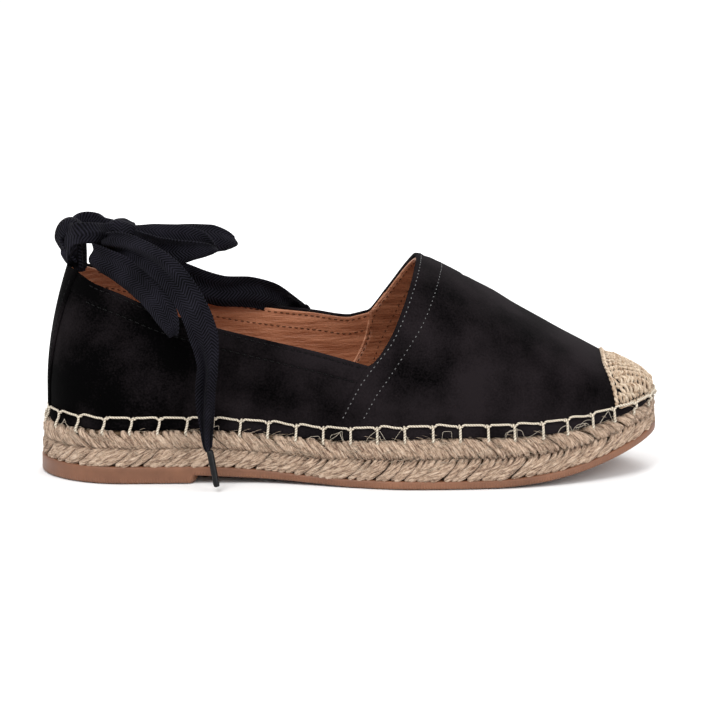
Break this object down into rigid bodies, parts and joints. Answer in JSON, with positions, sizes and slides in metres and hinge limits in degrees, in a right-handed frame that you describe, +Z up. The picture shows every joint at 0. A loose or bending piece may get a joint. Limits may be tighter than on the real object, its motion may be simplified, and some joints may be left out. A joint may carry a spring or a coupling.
{
  "type": "espadrille",
  "caption": "Flat slip-on shoe for the right foot with a hollow upper, braided jute midsole, rubber outsole, woven toe cap and a tape tied in a bow behind the heel.",
  "frame": {"origin": "on the floor, at the middle of the sole's length and width", "axes": "+X to the toe, +Y to the inner (medial) side of the foot, +Z up"},
  "size_m": [0.25, 0.0979, 0.1034],
  "materials": {
    "caramel_rubber": "satin, finely ribbed along the edge",
    "jute_braid": "braided plant fibre",
    "tan_lining": "smooth lining",
    "black_suede": "brushed suede",
    "jute_weave": "open basket weave",
    "cotton_tape": "herringbone tape",
    "aglet_black": "glossy"
  },
  "bodies": {
    "root": {"outsole": "caramel_rubber", "jute_midsole": "jute_braid", "insole": "tan_lining", "upper": "black_suede", "toe_cap": "jute_weave", "heel_stay": "black_suede", "pull_loop": "black_suede", "tie_strand": "cotton_tape", "tie_knot": "cotton_tape", "bow_loop_outer": "cotton_tape", "bow_loop_inner": "cotton_tape", "bow_loop_low": "cotton_tape", "tail_outer": "cotton_tape", "tail_inner": "cotton_tape", "aglet_outer": "aglet_black", "aglet_inner": "aglet_black"}
  },
  "joints": []
}
